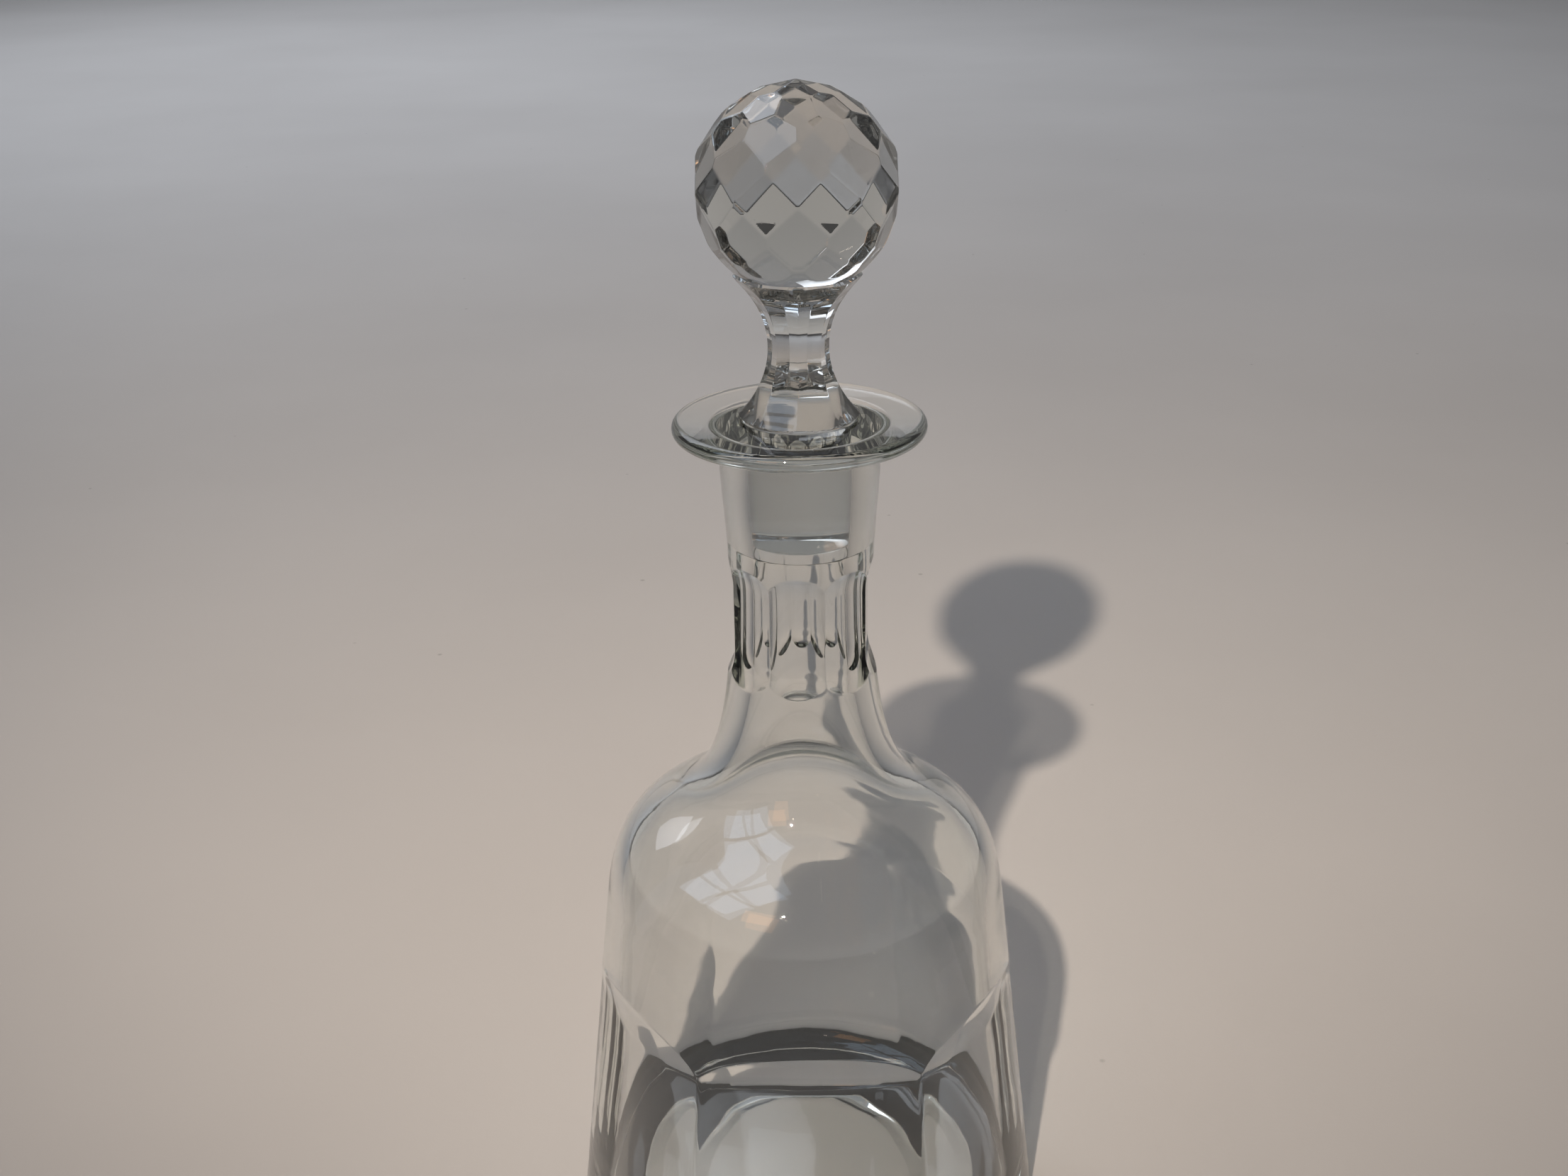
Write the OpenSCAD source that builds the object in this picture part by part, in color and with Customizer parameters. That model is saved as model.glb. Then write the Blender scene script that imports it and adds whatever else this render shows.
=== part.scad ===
// Cut crystal decanter with a faceted ball stopper. Millimetres, +Z up.
// The origin is the centre of the base, on the surface that the decanter stands on.

/* [Body] */
// Height of the decanter from its base to the top of its lip
body_h = 216.3; // [180:0.1:260]
// Radius of the blown body at the base
base_r = 60.3; // [50:0.1:73]
// Radius of the blown body where the shoulder starts
shoulder_r = 48.7; // [44:0.1:54]
// Height at which the straight side ends and the shoulder starts
shoulder_z = 96; // [86:1:116]
// Thickness of the glass in the side of the body
wall_t = 4.8; // [4:0.1:6]
// Thickness of the glass floor
floor_t = 9; // [7:0.1:12]
// Radius of the rounded edge round the foot
foot_round = 1.6; // [0.5:0.1:3]
// Radius of the rounded inside corner where the side meets the floor
floor_round = 9; // [4:0.5:14]
// How full the shoulder is, as a share of the height from shoulder to neck
shoulder_pull = 0.5; // [0.35:0.01:0.6]
// How slender the bottom of the neck is, as a share of the same height
neck_pull = 0.98; // [0.8:0.01:1]
// How full the inside of the shoulder is, as a share of the same height
inner_shoulder_pull = 0.4; // [0.3:0.01:0.5]
// How slender the inside of the neck is at its bottom, as a share of the same height
inner_neck_pull = 0.95; // [0.8:0.01:1]

/* [Polished hollow under the base] */
// Radius of the flat floor of the hollow
hollow_r = 33.5; // [20:0.5:38]
// Radius at which the hollow meets the foot ring
hollow_rim_r = 39.5; // [30:0.5:46]
// Depth of the hollow
hollow_depth = 1.6; // [0.8:0.1:3]

/* [Side panels] */
// Number of broad panels cut round the body
panel_count = 6; // [6:1:6]
// Depth of the middle of a panel where its arch springs
panel_depth = 2.4; // [2.3:0.1:3]
// Depth of the middle of a panel at the foot
panel_foot_depth = 2.9; // [2.8:0.1:3.4]
// How much further out than the body's own centre a panel curves from
panel_shift = 24; // [20:1:28]
// Height of the points where neighbouring panels' arches meet
panel_spring_z = 69; // [60:1:74]
// Radius of the wheel that leaves the arched top of a panel
panel_wheel_r = 46; // [35:1:60]

/* [Neck] */
// Radius of the neck at its narrowest, before the flutes are cut
neck_r = 16.7; // [16:0.1:19]
// Distance from the top of the lip down to the narrowest part of the neck
neck_drop = 41; // [35:1:50]
// Radius of the neck just under the lip
neck_top_r = 18.3; // [17:0.1:21]
// Radius of the passage through the neck, below the socket
bore_r = 10.6; // [9:0.1:10.8]

/* [Neck flutes] */
// Number of flutes round the neck
flute_count = 8; // [8:1:8]
// Distance from the axis to the flat of a flute
flute_face_r = 15.2; // [15:0.1:15.3]
// Distance from the top of the lip down to the upper end of the flutes
flute_drop = 33; // [32:0.5:40]
// Length of a flute from end to end
flute_len = 28; // [20:0.5:36]
// Radius of the wheel that rounds both ends of a flute
flute_end_r = 12; // [6:1:14]
// Turn of the flutes about the axis, in degrees
flute_turn = 4.5; // [0:0.5:10]

/* [Lip] */
// Radius of the lip
lip_r = 28.7; // [25:0.1:34]
// Thickness of the lip at its rounded edge
lip_t = 3.8; // [3:0.1:5]
// Radius of the fillet between the neck and the underside of the lip
lip_fillet_r = 2.5; // [2:0.5:5]

/* [Stopper plug and its socket] */
// Radius of the ground plug at the top
plug_top_r = 12.6; // [12.2:0.1:13.2]
// Radius of the ground plug at the bottom
plug_bottom_r = 11.1; // [10.9:0.1:11.4]
// Length of the ground plug
plug_len = 28.3; // [22:0.1:32]
// Gap between the ground faces of the plug and of the socket
seat_gap = 0.06; // [0.02:0.01:0.1]
// Depth of the socket below the end of the plug
socket_extra = 2; // [1:0.5:4]
// Bevel round the bottom edge of the plug
plug_bevel = 0.8; // [0.3:0.1:1.5]

/* [Stopper collar and shank] */
// Radius of the collar at its widest
collar_r = 13.6; // [13.3:0.1:15.5]
// Height of the bevel under the collar
collar_bevel_h = 1; // [0.5:0.1:1.5]
// Number of facets round the shank and the collar
shank_facets = 8; // [8:1:8]
// Distance from the axis to a facet at the waist of the shank
shank_face_r = 6.25; // [5.5:0.05:7.5]
// Height of the waist of the shank above the top of the lip
shank_rise = 16.2; // [14:0.1:20]

/* [Stopper ball] */
// Distance from the centre of the ball to its facets
ball_face_r = 21.4; // [18:0.1:25]
// Height of the centre of the ball above the waist of the shank
ball_rise = 35.2; // [32:0.1:42]
// Number of facets in each row round the ball
ball_facets = 10; // [8:1:12]
// Angle between one row of facets and the next, in degrees
row_step = 19; // [17:0.5:20]
// Number of facets round the top of the ball
crown_facets = 5; // [5:1:6]
// Angle of the crown facets above the middle of the ball, in degrees
crown_angle = 74; // [72:0.5:76]
// Angle below the middle at which the ball runs into a straight taper
taper_angle = 35; // [32:1:38]
// Distance from the centre of the ball to the facets of the taper
taper_face_r = 22; // [21.8:0.1:22.4]
// Reach of the taper's facets from their middle towards the shank
taper_reach = 15; // [14:0.5:16]

/* [Hidden] */
$fn = 72;
curve_steps = 18;
round_steps = 6;
overrun = 1;
seam_turn = 10;
panel_reach = 0.8;

side_slope = (base_r - shoulder_r) / shoulder_z;
side_tilt = atan(side_slope);
waist_z = body_h - neck_drop;
lip_mid_z = body_h - lip_t / 2;
lip_under_z = body_h - lip_t;

plug_bottom_z = body_h - plug_len;
plug_taper = (plug_top_r - plug_bottom_r) / plug_len;
socket_top_r = plug_top_r + seat_gap;
socket_bottom_z = plug_bottom_z - socket_extra;
socket_bottom_r = socket_top_r - plug_taper * (body_h - socket_bottom_z);

flute_mid_z = body_h - flute_drop - flute_len / 2;
flute_flat_len = flute_len - 2 * flute_end_r * sin(acos(1 - (neck_r - flute_face_r) / flute_end_r));

seat_z = body_h + seat_gap;
shank_z = body_h + shank_rise;
shank_blank_r = shank_face_r / cos(180 / shank_facets) + 0.15;
flare_h = shank_rise - seat_gap - collar_bevel_h;
flare_w = collar_r - shank_blank_r;
shank_wheel_r = (flare_h * flare_h + flare_w * flare_w) / (2 * flare_w);
ball_z = shank_z + ball_rise;
ball_blank_r = ball_face_r / cos(row_step) + 0.2;
facet_reach = sqrt(ball_blank_r * ball_blank_r - ball_face_r * ball_face_r) + overrun;

// Points along a circle of radius r about [x, z], from angle a to angle b.
function arc(x, z, r, a, b) =
    [for (i = [0:round_steps]) let (t = a + (b - a) * i / round_steps) [x + r * cos(t), z + r * sin(t)]];

// Points along a cubic curve that leaves p towards p_pull and arrives at q from q_pull.
function curve(p, p_pull, q_pull, q) =
    [for (i = [0:curve_steps]) let (t = i / curve_steps, s = 1 - t)
        s * s * s * p + 3 * s * s * t * p_pull + 3 * s * t * t * q_pull + t * t * t * q];

// Radius of the blown body's straight side at height z.
function side_r(z) = base_r - side_slope * z;

// Shoulder curve from the end of the straight side, in by `inset`, up to radius r at the neck's waist,
// with the pulls of its two ends as shares of its height.
function shoulder_curve(inset, r, low_pull, high_pull) =
    let (start = [side_r(shoulder_z) - inset, shoulder_z], rise = waist_z - shoulder_z)
    curve(start,
        start + low_pull * rise * [-sin(side_tilt), cos(side_tilt)],
        [r, waist_z - high_pull * rise],
        [r, waist_z]);

// Outside of the blown glass: foot, side, shoulder, neck and lip.
module blown_outline() {
    neck_end_z = lip_under_z - lip_fillet_r;
    neck_end = [neck_top_r, neck_end_z];
    neck_rise = neck_end_z - waist_z;
    polygon(concat(
        [[0, hollow_depth], [hollow_r, hollow_depth], [hollow_rim_r, 0]],
        arc(side_r(foot_round) - foot_round, foot_round, foot_round, -90, side_tilt),
        shoulder_curve(0, neck_r, shoulder_pull, neck_pull),
        curve([neck_r, waist_z], [neck_r, waist_z + neck_rise / 2],
            neck_end - [0, neck_rise / 3], neck_end),
        arc(neck_top_r + lip_fillet_r, neck_end_z, lip_fillet_r, 180, 90),
        arc(lip_r - lip_t / 2, lip_mid_z, lip_t / 2, -90, 90),
        [[0, body_h]]));
}

// Hollow inside of the glass, from the floor up to the socket.
module cavity() {
    corner_z = floor_t + floor_round;
    rotate_extrude() polygon(concat(
        [[0, floor_t]],
        arc(side_r(corner_z) - wall_t - floor_round, corner_z, floor_round, -90, side_tilt),
        shoulder_curve(wall_t, bore_r, inner_shoulder_pull, inner_neck_pull),
        [[bore_r, body_h + overrun], [0, body_h + overrun]]));
}

// Ground taper that the plug seats in.
module socket() {
    top_z = body_h + overrun;
    top_r = socket_top_r + plug_taper * overrun;
    translate([0, 0, socket_bottom_z])
        cylinder(h = top_z - socket_bottom_z, r1 = socket_bottom_r, r2 = top_r);
}

// What one panel takes away: its long face, and the arched run-out that the wheel leaves above it.
module panel_cut() {
    foot_x = panel_shift + base_r - panel_foot_depth;
    spring_x = panel_shift + side_r(panel_spring_z) - panel_depth;
    below_x = foot_x + (foot_x - spring_x) / panel_spring_z * overrun;
    outer = panel_shift + base_r + overrun;
    leave = acos(1 - (outer - spring_x) / panel_wheel_r);
    half_angle = panel_reach * 180 / panel_count;
    translate([-panel_shift, 0, 0])
        rotate([0, 0, -half_angle])
            rotate_extrude(angle = 2 * half_angle)
                polygon(concat(
                    [[outer, -overrun], [below_x, -overrun]],
                    arc(spring_x + panel_wheel_r, panel_spring_z, panel_wheel_r, 180, 180 - leave)));
}

// One flute of the neck: a flat that the wheel rounds off at both ends.
module flute() {
    wheel_x = flute_face_r + flute_end_r;
    leave = acos((flute_end_r - neck_r - overrun + flute_face_r) / flute_end_r);
    low_z = flute_mid_z - flute_flat_len / 2;
    high_z = flute_mid_z + flute_flat_len / 2;
    width = 2 * (neck_r * tan(180 / flute_count) + overrun);
    rotate([90, 0, 0]) linear_extrude(height = width, center = true)
        polygon(concat(
            arc(wheel_x, low_z, flute_end_r, 180 + leave, 180),
            arc(wheel_x, high_z, flute_end_r, 180, 180 - leave)));
}

// The blown glass after the panels are cut in opposite pairs, up to and including `pair`.
module panelled_glass(pair) {
    if (pair < 0)
        rotate([0, 0, seam_turn]) rotate_extrude() blown_outline();
    else
        difference() {
            panelled_glass(pair - 1);
            for (side = [0, 180])
                rotate([0, 0, side - 90 + 360 / panel_count * pair]) panel_cut();
        }
}

module decanter_body() {
    color([0.86, 0.88, 0.84, 0.4])
        difference() {
            panelled_glass(panel_count / 2 - 1);
            cavity();
            socket();
            for (i = [0:flute_count - 1])
                rotate([0, 0, -90 - flute_turn + 360 / flute_count * i]) flute();
        }
}

// Turned blank of the stopper: plug, collar, shank, taper and ball.
module stopper_blank() {
    shank_x = shank_blank_r + shank_wheel_r;
    collar_turn = asin(flare_h / shank_wheel_r);
    taper_turn = (90 - taper_angle) / 2;
    rotate([0, 0, seam_turn]) rotate_extrude() polygon(concat(
        [[0, plug_bottom_z],
            [plug_bottom_r - plug_bevel, plug_bottom_z],
            [plug_bottom_r + plug_taper * plug_bevel, plug_bottom_z + plug_bevel],
            [plug_top_r, body_h],
            [plug_top_r, seat_z]],
        [for (i = [0:curve_steps]) let (a = -collar_turn + (collar_turn + taper_turn) * i / curve_steps)
            [shank_x - shank_wheel_r * cos(a), shank_z + shank_wheel_r * sin(a)]],
        [for (i = [0:curve_steps]) let (a = -taper_angle + (90 + taper_angle) * i / curve_steps)
            [ball_blank_r * cos(a), ball_z + ball_blank_r * sin(a)]]));
}

// One row of `count` flats, `face` from the centre of the ball and `reach` wide, with the first
// at angle `turn` round the axis and all of them facing angle `tilt` above the middle.
module flat_row(count, turn, tilt, face, reach) {
    for (i = [0:count - 1])
        translate([0, 0, ball_z])
            rotate([0, 90 - tilt, turn + 360 / count * i])
                translate([0, 0, face])
                    cylinder(h = ball_blank_r - face + overrun, r = reach);
}

// The blank with its rows of ball flats cut, from the lowest row up to `row`.
module faceted_blank(row) {
    if (row < -1)
        stopper_blank();
    else
        difference() {
            faceted_blank(row - 1);
            flat_row(ball_facets, -90 + 180 / ball_facets * (row + 1), row * row_step,
                ball_face_r, facet_reach);
        }
}

module stopper() {
    facet_w = 2 * (collar_r * tan(180 / shank_facets) + overrun);
    color([0.84, 0.85, 0.86, 0.4])
        difference() {
            faceted_blank(3);
            flat_row(crown_facets, -90, crown_angle, ball_face_r, facet_reach);
            flat_row(shank_facets, -90 + 180 / shank_facets, -taper_angle, taper_face_r, taper_reach);
            for (i = [0:shank_facets - 1])
                rotate([0, 0, -90 + 360 / shank_facets * (i + 0.5)])
                    translate([shank_face_r + shank_wheel_r, 0, shank_z])
                        rotate([90, 0, 0])
                            cylinder(h = facet_w, r = shank_wheel_r, center = true);
        }
}

decanter_body();
stopper();
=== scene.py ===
import bpy
import numpy as np
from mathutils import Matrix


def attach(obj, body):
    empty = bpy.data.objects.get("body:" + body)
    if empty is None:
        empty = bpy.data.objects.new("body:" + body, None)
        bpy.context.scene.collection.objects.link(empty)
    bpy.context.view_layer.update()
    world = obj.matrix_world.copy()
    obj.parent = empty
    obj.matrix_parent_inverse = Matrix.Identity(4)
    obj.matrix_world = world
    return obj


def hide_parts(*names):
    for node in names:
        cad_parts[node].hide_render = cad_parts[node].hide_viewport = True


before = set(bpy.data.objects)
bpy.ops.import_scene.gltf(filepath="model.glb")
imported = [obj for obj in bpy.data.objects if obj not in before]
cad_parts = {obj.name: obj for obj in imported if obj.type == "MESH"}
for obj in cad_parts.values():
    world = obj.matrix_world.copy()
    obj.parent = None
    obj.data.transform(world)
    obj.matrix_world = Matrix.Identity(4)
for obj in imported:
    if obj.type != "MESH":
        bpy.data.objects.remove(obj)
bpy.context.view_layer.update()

MM = 0.001
base_r, shoulder_r, shoulder_z = 60.3, 48.7, 96.0
wall_t, floor_t, foot_round, floor_round = 4.8, 9.0, 1.6, 9.0
shoulder_pull, neck_pull, inner_shoulder_pull, inner_neck_pull = 0.5, 0.98, 0.4, 0.95
hollow_r, hollow_rim_r, hollow_depth = 33.5, 39.5, 1.6
panel_count, panel_depth, panel_foot_depth = 6, 2.4, 2.9
panel_shift, panel_spring_z, panel_wheel_r = 24.0, 69.0, 46.0
neck_r, waist_z, neck_top_r, bore_r = 16.7, 175.3, 18.3, 10.6
flute_count, flute_face_r, flute_turn = 8, 15.2, 4.5
flute_mid_z, flute_flat_len, flute_end_r = 169.3, 16.4, 12.0
lip_r, lip_t, lip_fillet_r, lip_z = 28.7, 3.8, 2.5, 216.3
socket_top_r, socket_bottom_r, socket_bottom_z = 12.66, 11.05, 186.0
edge_softness, ridge_softness = 0.03, 0.09
panels_end_z, flutes_start_z = 100.0, 140.0
out_of_reach = 1e3

side_slope = (base_r - shoulder_r) / shoulder_z
side_tilt = np.degrees(np.arctan(side_slope))


def circle_arc(x, z, r, start, end, steps):
    """Points on a circle: centre (x, z) plus r times the cosine and sine of angles evenly spaced
    from start to end."""
    t = np.radians(np.linspace(start, end, steps))
    return np.stack([x + r * np.cos(t), z + r * np.sin(t)], 1)


def cubic(p, p_pull, q_pull, q, steps):
    """Bezier cubic: the four points weighted by (1-t)^3, 3(1-t)^2 t, 3(1-t) t^2 and t^3."""
    t = np.linspace(0, 1, steps)[:, None]
    s = 1 - t
    p, p_pull, q_pull, q = (np.array(v, float) for v in (p, p_pull, q_pull, q))
    return s ** 3 * p + 3 * s * s * t * p_pull + 3 * s * t * t * q_pull + t ** 3 * q


def side_r(z):
    """Radius of the straight flared side: the base radius less the slope times the height."""
    return base_r - side_slope * z


def shoulder_curve(inset, r, low_pull, high_pull, steps):
    """Cubic that leaves the side along its own slope and arrives straight up at radius r at the
    neck's waist."""
    start = np.array([side_r(shoulder_z) - inset, shoulder_z])
    rise = waist_z - shoulder_z
    lean = np.radians(side_tilt)
    out = start + low_pull * rise * np.array([-np.sin(lean), np.cos(lean)])
    return cubic(start, out, [r, waist_z - high_pull * rise], [r, waist_z], steps)


def soft_min(*sizes, k=edge_softness):
    """Least of several surfaces, with the corner between two of them rounded:
    -k log of the sum of exp(-size / k)."""
    stack = np.stack(np.broadcast_arrays(*sizes))
    least = stack.min(0)
    return least - k * np.log(np.exp((least - stack) / k).sum(0))


def lower_root(f, low, high):
    """Where f changes sign between low and high, by halving the span again and again."""
    for _ in range(40):
        mid = (low + high) / 2
        left = np.sign(f(mid)) == np.sign(f(low))
        low, high = np.where(left, mid, low), np.where(left, high, mid)
    return (low + high) / 2


def turned_skin(name, rings, low_pole, high_pole):
    """Closed skin: rings of points (rows x columns x 3, in mm) joined by quads, with a fan to a pole
    at each end."""
    rows, cols = rings.shape[:2]
    points = np.concatenate([[low_pole], rings.reshape(-1, 3), [high_pole]]) * MM
    j = np.arange(cols)
    k = (j + 1) % cols
    i = np.arange(rows - 1)[:, None] * cols + 1
    quads = np.stack([i + j, i + k, i + cols + k, i + cols + j], -1).reshape(-1, 4)
    top = (rows - 1) * cols + 1
    fans = np.concatenate([
        np.stack([np.zeros_like(j), 1 + k, 1 + j], 1),
        np.stack([top + j, top + k, np.full_like(j, len(points) - 1)], 1)])
    loops = np.concatenate([quads.ravel(), fans.ravel()])
    sizes = np.concatenate([np.full(len(quads), 4), np.full(len(fans), 3)])
    mesh = bpy.data.meshes.new(name)
    mesh.vertices.add(len(points))
    mesh.vertices.foreach_set("co", points.astype(np.float32).ravel())
    mesh.loops.add(len(loops))
    mesh.loops.foreach_set("vertex_index", loops.astype(np.int32))
    mesh.polygons.add(len(sizes))
    mesh.polygons.foreach_set("loop_start", np.concatenate([[0], np.cumsum(sizes)[:-1]]).astype(np.int32))
    mesh.polygons.foreach_set("use_smooth", np.ones(len(sizes), bool))
    mesh.update(calc_edges=True)
    mesh.set_sharp_from_angle(angle=np.radians(40))
    piece = bpy.data.objects.new(name, mesh)
    bpy.context.scene.collection.objects.link(piece)
    return piece


shoulder_out = shoulder_curve(0, neck_r, shoulder_pull, neck_pull, 400)
neck_end_z = lip_z - lip_t - lip_fillet_r
neck_rise = neck_end_z - waist_z
neck_out = cubic([neck_r, waist_z], [neck_r, waist_z + neck_rise / 2],
                 [neck_top_r, neck_end_z - neck_rise / 3], [neck_top_r, neck_end_z], 200)
blown = np.concatenate([[[side_r(foot_round), foot_round]], shoulder_out, neck_out[1:]])


def blown_r(z):
    """Outer radius of the blown glass at height z, before any cut."""
    return np.interp(z, blown[:, 1], blown[:, 0])


def panel_r(turn, z):
    """Radius left by the panels: a turned face about an axis shifted back from each panel, straight up
    to the spring and then following the wheel's circle outwards, so the ray from the centre meets it at
    sqrt(R^2 - (shift sin a)^2) - shift cos a, for the nearer panel and for its neighbour. The ridge
    between them wanders a little and is worn rounder than the other edges."""
    step = 360 / panel_count
    wander = 0.35 * np.sin(z / 6.0 + turn / 17) * np.sin(z / 2.3)
    off = np.abs((turn + wander + step / 2) % step - step / 2)
    foot = panel_shift + base_r - panel_foot_depth
    spring = panel_shift + side_r(panel_spring_z) - panel_depth
    above = np.clip(z - panel_spring_z, 0, panel_wheel_r - 1)
    face = np.where(z < panel_spring_z, foot + (spring - foot) * z / panel_spring_z,
                    spring + panel_wheel_r - np.sqrt(panel_wheel_r ** 2 - above ** 2))
    near, next_one = (np.sqrt(face ** 2 - (panel_shift * np.sin(np.radians(a))) ** 2)
                      - panel_shift * np.cos(np.radians(a)) for a in (off, step - off))
    return soft_min(near, next_one, k=ridge_softness)


def flute_r(turn, z):
    """Radius left by the flutes: a flat at a fixed distance, leaving outwards along the wheel's circle
    at both ends, divided by the cosine of the angle from its middle."""
    step = 360 / flute_count
    off = np.abs((turn + flute_turn + step / 2) % step - step / 2)
    past = np.clip(np.abs(z - flute_mid_z) - flute_flat_len / 2, 0, flute_end_r - 0.5)
    face = flute_face_r + flute_end_r - np.sqrt(flute_end_r ** 2 - past ** 2)
    return soft_min(face / np.cos(np.radians(off)), face / np.cos(np.radians(step - off)))


ridges = 360 / panel_count * (np.arange(panel_count) + 0.5)
flute_ridges = 360 / flute_count * (np.arange(flute_count) + 0.5) - flute_turn
turn = np.unique(np.round(np.concatenate([
    np.arange(360.0), ridges - 0.5, ridges + 0.5, flute_ridges - 0.5, flute_ridges + 0.5]) % 360, 3))



def cut_end(cut_r, low, high):
    """Height between low and high where a cut runs out of the blown glass, for each column."""
    low, high = np.full_like(turn, low), np.full_like(turn, high)
    return lower_root(lambda z: cut_r(turn, z) - blown_r(z), low, high)


arch_z = cut_end(panel_r, 62.0, 94.0)
flute_low = cut_end(flute_r, 150.0, 168.0)
flute_high = cut_end(flute_r, 168.0, 188.0)


def rows_between(low, high, shares, near=0.3):
    """Heights of rows from low to high for each column: shares of the span, and one row a hair inside
    each end."""
    z = low + (high - low) * np.asarray(shares)[:, None]
    return np.concatenate([[low + near], z, [high - near]])


outer_z = np.concatenate([
    rows_between(np.full_like(turn, foot_round), arch_z,
                 np.concatenate([np.linspace(0.04, 0.8, 20), np.linspace(0.82, 0.985, 14)])),
    [arch_z],
    rows_between(arch_z, flute_low, np.linspace(0.01, 0.985, 52)),
    [flute_low],
    rows_between(flute_low, flute_high, np.linspace(0.03, 0.97, 24)),
    [flute_high],
    rows_between(flute_high, np.full_like(turn, neck_end_z), np.linspace(0.06, 0.9, 9))])
on_neck = outer_z > flutes_start_z
outer_r = np.where(on_neck, soft_min(blown_r(outer_z), flute_r(turn, outer_z)),
                   soft_min(blown_r(outer_z), np.where(outer_z < panels_end_z, panel_r(turn, outer_z),
                                                       out_of_reach)))

underside = np.array([
    [16, hollow_depth], [hollow_r - 0.4, hollow_depth], [hollow_r + 0.5, hollow_depth - 0.12],
    [hollow_rim_r - 0.4, 0.12], [hollow_rim_r + 0.5, 0], [50, 0]])
foot = circle_arc(side_r(foot_round) - foot_round, foot_round, foot_round, -90, side_tilt - 10, 7)
foot = np.concatenate([underside, foot])
foot_r = np.minimum(foot[:, :1], panel_r(turn, foot[:, 1:]) - 0.25 * np.clip(1 - foot[:, 1:] / 0.5, 0, 1))
lip = np.concatenate([
    circle_arc(neck_top_r + lip_fillet_r, neck_end_z, lip_fillet_r, 180, 92, 10),
    circle_arc(lip_r - lip_t / 2, lip_z - lip_t / 2, lip_t / 2, -89, 89, 21),
    [[20, lip_z], [socket_top_r + 0.7, lip_z], [socket_top_r + 0.25, lip_z - 0.05],
     [socket_top_r, lip_z - 0.3]]])

corner_z = floor_t + floor_round
inside = np.concatenate([
    [[socket_top_r, lip_z], [socket_bottom_r, socket_bottom_z]],
    [[bore_r + 0.15, socket_bottom_z - 0.15], [bore_r, socket_bottom_z - 0.5]],
    shoulder_curve(wall_t, bore_r, inner_shoulder_pull, inner_neck_pull, 44)[::-1],
    np.stack([side_r(np.linspace(90, 22, 9)) - wall_t, np.linspace(90, 22, 9)], 1),
    circle_arc(side_r(corner_z) - wall_t - floor_round, corner_z, floor_round, side_tilt, -90, 14),
    [[30, floor_t], [15, floor_t]]])
socket_z = np.array([214.0, 205.0, 195.0, 188.0])
socket = np.stack([
    np.interp(socket_z, [socket_bottom_z, lip_z], [socket_bottom_r, socket_top_r]), socket_z], 1)
inside = np.concatenate([socket, inside[1:]])
blow_wave = 0.16 * np.clip((150 - inside[:, 1:]) / 60, 0, 1) * np.clip((inside[:, 1:] - floor_t) / 30, 0, 1)
inside_r = inside[:, :1] + blow_wave * np.sin(np.radians(2 * turn) + inside[:, 1:] / 21) \
    + 0.4 * blow_wave * np.sin(np.radians(5 * turn) - inside[:, 1:] / 9)


def ring_points(r, z):
    """Points at radius r and height z round the axis, column 0 at the front and turning towards +X."""
    r, z, t = np.broadcast_arrays(r, z, np.radians(turn))
    return np.stack([r * np.sin(t), -r * np.cos(t), z], -1)


decanter = turned_skin("decanter_crystal", np.concatenate([
    ring_points(foot_r, foot[:, 1:]), ring_points(outer_r, outer_z), ring_points(lip[:, :1], lip[:, 1:]),
    ring_points(inside_r, inside[:, 1:])]), [0, 0, hollow_depth], [0, 0, floor_t])


def new_group(name, inputs, outputs):
    """An empty shader node group with named inputs (type, default) and outputs (type)."""
    group = bpy.data.node_groups.new(name, "ShaderNodeTree")
    for label, (kind, default) in inputs.items():
        group.interface.new_socket(name=label, in_out="INPUT", socket_type=kind).default_value = default
    for label, kind in outputs.items():
        group.interface.new_socket(name=label, in_out="OUTPUT", socket_type=kind)
    return group, group.nodes.new("NodeGroupInput"), group.nodes.new("NodeGroupOutput")


def add_node(tree, kind, values=None, **settings):
    """A node of that kind, with its settings and the values of its named input sockets."""
    node = tree.nodes.new(kind)
    for key, value in settings.items():
        setattr(node, key, value)
    for key, value in (values or {}).items():
        node.inputs[key].default_value = value
    return node


def wire(tree, *pairs):
    """Joins each output socket to its input socket."""
    for a, b in pairs:
        tree.links.new(a, b)


# Hand polish: slow swells left by the polishing wheel, hairline scratches and a little dust.
polish, take, give = new_group(
    "hand_polish",
    {"Swell": ("NodeSocketFloat", 0.5), "Scratches": ("NodeSocketFloat", 0.5),
     "Base Roughness": ("NodeSocketFloat", 0.01)},
    {"Height": "NodeSocketFloat", "Roughness": "NodeSocketFloat"})
place = add_node(polish, "ShaderNodeTexCoord")
swell = add_node(polish, "ShaderNodeTexNoise", {"Scale": 70.0, "Detail": 2.0, "Roughness": 0.45})
stretch = add_node(polish, "ShaderNodeMapping", {"Scale": (900.0, 900.0, 60.0), "Rotation": (0.35, 0.2, 0.0)})
scratch = add_node(polish, "ShaderNodeTexNoise", {"Scale": 1.0, "Detail": 3.0, "Roughness": 0.6})
scratch_line = add_node(polish, "ShaderNodeMapRange", {"From Min": 0.66, "From Max": 0.74})
dust = add_node(polish, "ShaderNodeTexVoronoi", {"Scale": 420.0}, feature="F1")
dust_spot = add_node(polish, "ShaderNodeMapRange", {"From Min": 0.11, "From Max": 0.05})
swell_height = add_node(polish, "ShaderNodeMath", operation="MULTIPLY")
scratch_height = add_node(polish, "ShaderNodeMath", operation="MULTIPLY")
height = add_node(polish, "ShaderNodeMath", {1: 0.02}, operation="MULTIPLY_ADD")
marks = add_node(polish, "ShaderNodeMath", operation="ADD")
rough = add_node(polish, "ShaderNodeMath", {1: 0.06}, operation="MULTIPLY_ADD")
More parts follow.
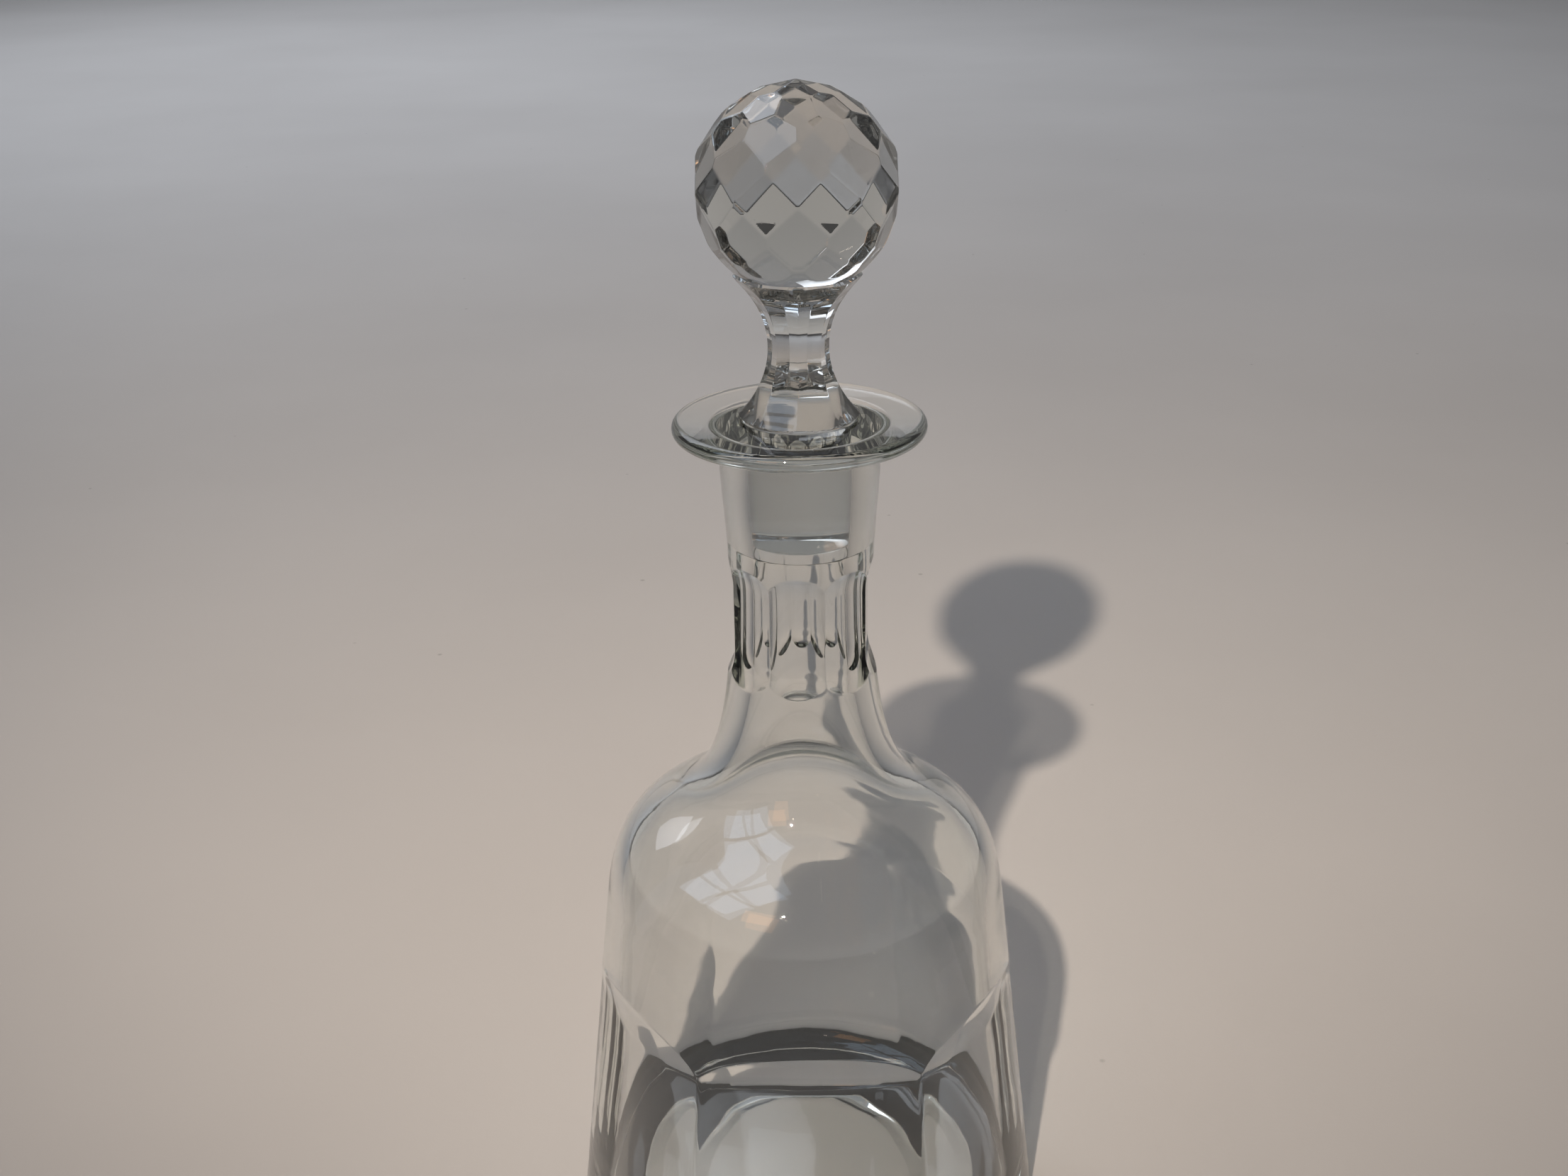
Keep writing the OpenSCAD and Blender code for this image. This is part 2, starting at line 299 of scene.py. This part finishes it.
wire(polish,
     (place.outputs["Object"], swell.inputs["Vector"]),
     (place.outputs["Object"], stretch.inputs["Vector"]),
     (stretch.outputs["Vector"], scratch.inputs["Vector"]),
     (place.outputs["Object"], dust.inputs["Vector"]),
     (scratch.outputs["Fac"], scratch_line.inputs["Value"]),
     (dust.outputs["Distance"], dust_spot.inputs["Value"]),
     (swell.outputs["Fac"], swell_height.inputs[0]), (take.outputs["Swell"], swell_height.inputs[1]),
     (scratch_line.outputs["Result"], scratch_height.inputs[0]),
     (take.outputs["Scratches"], scratch_height.inputs[1]),
     (scratch_height.outputs["Value"], height.inputs[0]),
     (swell_height.outputs["Value"], height.inputs[2]),
     (scratch_height.outputs["Value"], marks.inputs[0]), (dust_spot.outputs["Result"], marks.inputs[1]),
     (marks.outputs["Value"], rough.inputs[0]), (take.outputs["Base Roughness"], rough.inputs[2]),
     (height.outputs["Value"], give.inputs["Height"]), (rough.outputs["Value"], give.inputs["Roughness"]))


def crystal(name, tint, density, swell_size, scratches, let_through, ground=None):
    """Clear lead crystal: a refracting shader with hand polish on its surface and a faint colour that
    deepens with the thickness of the glass. Each surface lets the share `let_through` of the lamp light
    on its way to the floor pass. `ground` gives the heights (m) between which the surface is ground for
    the seat."""
    material = bpy.data.materials.new(name)
    material.use_nodes = True
    tree = material.node_tree
    tree.nodes.clear()
    out = add_node(tree, "ShaderNodeOutputMaterial")
    glass = add_node(tree, "ShaderNodeBsdfPrincipled", {
        "Base Color": (0.985, 0.99, 0.985, 1.0), "Metallic": 0.0, "Transmission Weight": 1.0, "IOR": 1.54,
        "Roughness": 0.01})
    surface = add_node(tree, "ShaderNodeGroup", node_tree=polish)
    surface.inputs["Swell"].default_value = swell_size
    surface.inputs["Scratches"].default_value = scratches
    bump = add_node(tree, "ShaderNodeBump", {"Strength": 0.35, "Distance": 0.0002})
    tree.links.new(surface.outputs["Height"], bump.inputs["Height"])
    tree.links.new(bump.outputs["Normal"], glass.inputs["Normal"])
    roughness = surface.outputs["Roughness"]
    if ground:
        where = add_node(tree, "ShaderNodeTexCoord")
        split = add_node(tree, "ShaderNodeSeparateXYZ")
        low = add_node(tree, "ShaderNodeMapRange", {"From Min": ground[0], "From Max": ground[0] + 0.0006})
        high = add_node(tree, "ShaderNodeMapRange", {"From Min": ground[1], "From Max": ground[1] - 0.0006})
        both = add_node(tree, "ShaderNodeMath", operation="MULTIPLY")
        more = add_node(tree, "ShaderNodeMath", {1: 0.025}, operation="MULTIPLY_ADD")
        wire(tree,
             (where.outputs["Object"], split.inputs["Vector"]), (split.outputs["Z"], low.inputs["Value"]),
             (split.outputs["Z"], high.inputs["Value"]), (low.outputs["Result"], both.inputs[0]),
             (high.outputs["Result"], both.inputs[1]), (both.outputs["Value"], more.inputs[0]),
             (roughness, more.inputs[2]))
        roughness = more.outputs["Value"]
    tree.links.new(roughness, glass.inputs["Roughness"])
    path = add_node(tree, "ShaderNodeLightPath")
    share = add_node(tree, "ShaderNodeMath", {1: let_through}, operation="MULTIPLY")
    clear = add_node(tree, "ShaderNodeBsdfTransparent", {"Color": (0.97, 0.98, 1.0, 1.0)})
    mix = add_node(tree, "ShaderNodeMixShader")
    depth = add_node(tree, "ShaderNodeVolumeAbsorption", {"Color": tint, "Density": density})
    wire(tree,
         (path.outputs["Is Shadow Ray"], share.inputs[0]), (share.outputs["Value"], mix.inputs[0]),
         (glass.outputs["BSDF"], mix.inputs[1]), (clear.outputs["BSDF"], mix.inputs[2]),
         (mix.outputs["Shader"], out.inputs["Surface"]), (depth.outputs["Volume"], out.inputs["Volume"]))
    return material


decanter.data.materials.append(crystal("body_crystal", (0.60, 0.66, 0.56, 1.0), 12.0, 0.6, 0.5, 0.42))
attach(decanter, "body")
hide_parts("decanter_body")

# Stopper. One solid piece of lead crystal: a turned blank with a plug, a flared collar, a shank and a ball.
# The plug is ground to fit the socket. Eight hollow facets run up the collar and the shank, and rows of
# ten flat facets, each row turned half a facet from the next, cover the ball up to five crown facets.
plug_top_r, plug_bottom_r, plug_bottom_z, plug_bevel = 12.6, 11.1, 188.0, 0.8
seat_z, collar_r, collar_bevel_h = 216.36, 13.6, 1.0
shank_facets, shank_face_r, shank_z = 8, 6.25, 232.5
ball_face_r, ball_z, ball_facets, row_step = 21.4, 267.7, 10, 19.0
crown_facets, crown_angle = 5, 74.0
taper_angle, taper_face_r, taper_top_z, taper_flats_start_z = 35.0, 22.0, 248.5, 244.0
least_slant = 0.02

shank_blank_r = shank_face_r / np.cos(np.pi / shank_facets) + 0.15
flare_h = shank_z - seat_z - collar_bevel_h
flare_w = collar_r - shank_blank_r
shank_wheel_r = (flare_h ** 2 + flare_w ** 2) / (2 * flare_w)
ball_blank_r = ball_face_r / np.cos(np.radians(row_step)) + 0.2
collar_turn = np.degrees(np.arcsin(flare_h / shank_wheel_r))
taper_turn = (90 - taper_angle) / 2
plug_taper = (plug_top_r - plug_bottom_r) / (lip_z - plug_bottom_z)
shank_arc = circle_arc(shank_blank_r + shank_wheel_r, shank_z, shank_wheel_r,
                       180 + collar_turn, 180 - taper_turn, 120)
blank = np.concatenate([
    [[plug_bottom_r + plug_taper * plug_bevel, plug_bottom_z + plug_bevel], [plug_top_r, seat_z]], shank_arc])
cone_low = shank_arc[-1]
cone_high = np.array([ball_blank_r * np.cos(np.radians(taper_angle)),
                      ball_z - ball_blank_r * np.sin(np.radians(taper_angle))])

turn = np.arange(0, 360, 0.75)


def facet_angle(count, first):
    """Angle in degrees from the nearest of `count` facets, the first of them at `first`."""
    step = 360 / count
    return np.abs((turn - first + step / 2) % step - step / 2)


def flat_distance(out, up, start_z, tilt, away, face):
    """How far a ray goes before it meets a flat: (distance - normal . start) / (normal . direction),
    from the ball's centre, where the ray starts on the axis at start_z and runs `out` and `up`."""
    lean = np.radians(tilt)
    along = out * np.cos(lean) * np.cos(np.radians(away)) + up * np.sin(lean)
    distance = (face - (start_z - ball_z) * np.sin(lean)) / np.maximum(along, least_slant)
    return np.where(along > least_slant, distance, out_of_reach)


def stem_r(z):
    """Radius of the plug, collar and shank at height z: the turned blank, less the hollow left by the
    shank wheel's circle, and near the ball less the flats of the taper."""
    away = facet_angle(shank_facets, 180 / shank_facets)
    drop = np.clip(np.abs(z - shank_z), 0, shank_wheel_r - 0.01)
    hollow = shank_face_r + shank_wheel_r - np.sqrt(shank_wheel_r ** 2 - drop ** 2)
    hollow = np.where(z < seat_z, out_of_reach, hollow / np.cos(np.radians(away)))
    taper = flat_distance(1.0, 0.0, z, -taper_angle, away, taper_face_r)
    round_r = np.interp(z, np.append(blank[:, 1], cone_high[1]), np.append(blank[:, 0], cone_high[0]))
    return soft_min(round_r, hollow, np.where(z > taper_flats_start_z, taper, out_of_reach))


def ball_points(aim, start_z):
    """Points of the ball and its taper along rays from the axis at start_z towards the turned profile's
    points: the least of the sphere, the cone and every flat that the ray can meet."""
    out, up = aim[:, :1], aim[:, 1:] - start_z
    length = np.hypot(out, up)
    out, up = out / length, up / length
    drop = start_z - ball_z
    sphere = -up * drop + np.sqrt(np.maximum((up * drop) ** 2 - drop ** 2 + ball_blank_r ** 2, 0))
    slope = (cone_high[0] - cone_low[0]) / (cone_high[1] - cone_low[1])
    steep = out - slope * up
    cone = (cone_low[0] + slope * (start_z - cone_low[1])) / np.maximum(steep, least_slant)
    cone = np.where(steep > least_slant, cone, out_of_reach)
    taper_away = facet_angle(shank_facets, 180 / shank_facets)
    cuts = [sphere, cone, flat_distance(out, up, start_z, -taper_angle, taper_away, taper_face_r)]
    for row in range(-1, 4):
        step = 360 / ball_facets
        away = facet_angle(ball_facets, step / 2 * (row + 1))
        cuts.append(flat_distance(out, up, start_z, row * row_step, away, ball_face_r))
        cuts.append(flat_distance(out, up, start_z, row * row_step, step - away, ball_face_r))
    away = facet_angle(crown_facets, 0)
    cuts.append(flat_distance(out, up, start_z, crown_angle, away, ball_face_r))
    cuts.append(flat_distance(out, up, start_z, crown_angle, 360 / crown_facets - away, ball_face_r))
    reach = soft_min(*cuts)
    return ring_points(reach * out, start_z + reach * up)


plug_z = np.linspace(plug_bottom_z + 1.1, seat_z - 0.4, 8)
plug = np.concatenate([
    np.array([[6, plug_bottom_z], [plug_bottom_r - plug_bevel - 0.2, plug_bottom_z],
              [plug_bottom_r - plug_bevel + 0.1, plug_bottom_z + 0.06],
              [plug_bottom_r + plug_taper * plug_bevel - 0.06, plug_bottom_z + plug_bevel - 0.1]]),
    np.stack([plug_bottom_r + plug_taper * (plug_z - plug_bottom_z), plug_z], 1),
    [[plug_top_r, seat_z - 0.02], [plug_top_r + 0.12, seat_z + 0.08]]])
stem_z = np.concatenate([seat_z + collar_bevel_h * np.array([0.3, 0.5, 0.7, 0.85, 0.93]),
                         np.linspace(seat_z + collar_bevel_h + 0.03, taper_top_z, 46)])[:, None]
latitude = np.radians(np.linspace(-taper_angle, 89.3, 132))
first_share = (taper_top_z + 0.4 - cone_low[1]) / (cone_high[1] - cone_low[1])
aim = np.concatenate([
    cone_low + (cone_high - cone_low) * np.linspace(first_share, 0.95, 9)[:, None],
    np.stack([ball_blank_r * np.cos(latitude), ball_z + ball_blank_r * np.sin(latitude)], 1)])
swing = np.clip((aim[:, 1:] - taper_top_z) / 13, 0, 1)
start_z = aim[:, 1:] * (1 - swing) + ball_z * swing
ball = ball_points(aim, start_z)

stopper = turned_skin("stopper_crystal", np.concatenate([
    ring_points(plug[:, :1], plug[:, 1:]), ring_points(stem_r(stem_z), stem_z), ball]),
    [0, 0, plug_bottom_z], [0, 0, ball[-1, :, 2].max()])
stopper.data.materials.append(crystal(
    "stopper_crystal", (0.62, 0.62, 0.60, 1.0), 22.0, 0.3, 0.4, 0.15,
    ground=(plug_bottom_z * MM + 0.001, seat_z * MM)))
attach(stopper, "stopper")
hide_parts("stopper")

# Stand. A wide sheet of pale matt paper that the decanter stands on, with faint mottling and a few specks.
# It is the studio floor and no part of the decanter.
paper_cells = 12
across = np.linspace(-6, 6, paper_cells + 1)
floor_x, floor_y = np.meshgrid(across, across)
floor_points = np.stack([floor_x, floor_y + 3, np.zeros_like(floor_x)], -1).reshape(-1, 3)
cell = (np.arange(paper_cells)[:, None] * (paper_cells + 1) + np.arange(paper_cells)).reshape(-1, 1)
paper_mesh = bpy.data.meshes.new("paper_stand")
paper_mesh.from_pydata(floor_points.tolist(), [], (cell + [0, 1, paper_cells + 2, paper_cells + 1]).tolist())
paper = bpy.data.objects.new("paper_stand", paper_mesh)
bpy.context.scene.collection.objects.link(paper)
paper_stock = bpy.data.materials.new("paper_stock")
paper_stock.use_nodes = True
tree = paper_stock.node_tree
shade = tree.nodes["Principled BSDF"]
where = add_node(tree, "ShaderNodeTexCoord")
mottle = add_node(tree, "ShaderNodeTexNoise", {"Scale": 2.5, "Detail": 5.0, "Roughness": 0.5})
tone = add_node(tree, "ShaderNodeValToRGB")
tone.color_ramp.elements[0].position, tone.color_ramp.elements[0].color = 0.3, (0.50, 0.485, 0.47, 1)
tone.color_ramp.elements[1].position, tone.color_ramp.elements[1].color = 0.7, (0.55, 0.535, 0.52, 1)
speck = add_node(tree, "ShaderNodeTexVoronoi", {"Scale": 22.0, "Randomness": 1.0})
speck_spot = add_node(tree, "ShaderNodeMapRange", {
    "From Min": 0.014, "From Max": 0.03, "To Min": 0.72, "To Max": 1.0})
speckled = add_node(tree, "ShaderNodeMix", {0: 1.0}, data_type="RGBA", blend_type="MULTIPLY")
fibre = add_node(tree, "ShaderNodeTexNoise", {"Scale": 900.0, "Detail": 3.0})
tooth = add_node(tree, "ShaderNodeBump", {"Strength": 0.15, "Distance": 0.0002})
wire(tree,
     (where.outputs["Object"], mottle.inputs["Vector"]), (mottle.outputs["Fac"], tone.inputs["Fac"]),
     (where.outputs["Object"], speck.inputs["Vector"]),
     (speck.outputs["Distance"], speck_spot.inputs["Value"]), (tone.outputs["Color"], speckled.inputs[6]),
     (speck_spot.outputs["Result"], speckled.inputs[7]),
     (speckled.outputs[2], shade.inputs["Base Color"]), (where.outputs["Object"], fibre.inputs["Vector"]),
     (fibre.outputs["Fac"], tooth.inputs["Height"]), (tooth.outputs["Normal"], shade.inputs["Normal"]))
shade.inputs["Roughness"].default_value = 0.75
paper_mesh.materials.append(paper_stock)

# Light and camera. A small warm key lamp behind the camera's left, cool sky light on the far paper, a faint
# desk lamp and a window of four panes high on the left, in a grey room, with the camera looking down from
# the front. The panes show only in the glass, and the room lights the paper at a fifth of its own strength.
from mathutils import Matrix, Vector


def panel_light(name, place, target, size_x, size_y, power, colour, spread=np.pi):
    """A rectangular light at `place`, facing `target`, its light kept within the angle `spread`."""
    lamp = bpy.data.lights.new(name, "AREA")
    lamp.shape, lamp.size, lamp.size_y = "RECTANGLE", size_x, size_y
    lamp.energy, lamp.color, lamp.spread = power, colour, spread
    holder = bpy.data.objects.new(name, lamp)
    holder.location = place
    holder.rotation_euler = (Vector(target) - Vector(place)).to_track_quat("-Z", "Y").to_euler()
    bpy.context.scene.collection.objects.link(holder)
    return holder


panel_light("cool_sky", (-1.1, 2.4, 2.1), (0.0, 2.1, 0.0), 2.2, 2.2, 24, (0.86, 0.91, 1.0),
            spread=np.radians(110))
panel_light("desk_lamp", (-0.45, -0.75, 0.75), (-0.1, -0.15, 0.0), 0.3, 0.3, 0.5, (1.0, 0.50, 0.20))
key_lamp = bpy.data.lights.new("key_lamp", "SPOT")
key_lamp.energy, key_lamp.color, key_lamp.shadow_soft_size = 57, (1.0, 0.85, 0.71), 0.010
key_lamp.spot_size, key_lamp.spot_blend = np.radians(72), 1.0
key = bpy.data.objects.new("key_lamp", key_lamp)
key.location = (-0.169, -0.623, 0.712)
key.rotation_euler = (Vector((0.12, 0.75, 0.10)) - key.location).to_track_quat("-Z", "Y").to_euler()
bpy.context.scene.collection.objects.link(key)
window_way = np.array([-0.55, -0.20, 0.81])
window_side = np.cross([0, 0, 1], window_way)
window_side /= np.linalg.norm(window_side)
window_up = np.cross(window_way, window_side)
for side in (-1, 1):
    for up in (-1, 1):
        spot = window_way * 1.7 + window_side * side * 0.29 + window_up * up * 0.36 + [0, 0, 0.1]
        pane = panel_light(f"window_pane_{side}_{up}", spot.tolist(), (spot - window_way).tolist(),
                           0.5, 0.64, 1.8, (0.62, 0.78, 1.0))
        pane.visible_diffuse = False

world = bpy.data.worlds.new("grey_room")
bpy.context.scene.world = world
world.use_nodes = True
tree = world.node_tree
around = add_node(tree, "ShaderNodeTexCoord")
seen_by = add_node(tree, "ShaderNodeLightPath")
dimmer = add_node(tree, "ShaderNodeMath", {1: -0.8, 2: 1.0}, operation="MULTIPLY_ADD")
split = add_node(tree, "ShaderNodeSeparateXYZ")
level = add_node(tree, "ShaderNodeMapRange", {"From Min": -1.0, "From Max": 1.0})
room = add_node(tree, "ShaderNodeValToRGB")
room.color_ramp.elements[0].position, room.color_ramp.elements[0].color = 0.5, (0.42, 0.40, 0.38, 1)
room.color_ramp.elements[1].position, room.color_ramp.elements[1].color = 0.9, (0.24, 0.245, 0.265, 1)
middle = room.color_ramp.elements.new(0.65)
middle.color = (0.30, 0.295, 0.29, 1)
wire(tree,
     (around.outputs["Generated"], split.inputs["Vector"]), (split.outputs["Z"], level.inputs["Value"]),
     (level.outputs["Result"], room.inputs["Fac"]),
     (room.outputs["Color"], tree.nodes["Background"].inputs["Color"]),
     (seen_by.outputs["Is Diffuse Ray"], dimmer.inputs[0]),
     (dimmer.outputs["Value"], tree.nodes["Background"].inputs["Strength"]))

bpy.context.scene.view_settings.view_transform = "Standard"
light_path = bpy.context.scene.cycles
light_path.max_bounces, light_path.transmission_bounces, light_path.glossy_bounces = 24, 24, 12

lens = bpy.data.cameras.new("camera")
lens.sensor_width, lens.lens, lens.clip_start = 36.0, 43.13, 0.02
camera = bpy.data.objects.new("camera", lens)
camera.matrix_world = Matrix.Translation((-0.004, -0.4012, 0.3462)) \
    @ Matrix.Rotation(np.radians(90 - 23.15), 4, "X") @ Matrix.Rotation(np.radians(-0.9), 4, "Z")
bpy.context.scene.collection.objects.link(camera)
bpy.context.scene.camera = camera
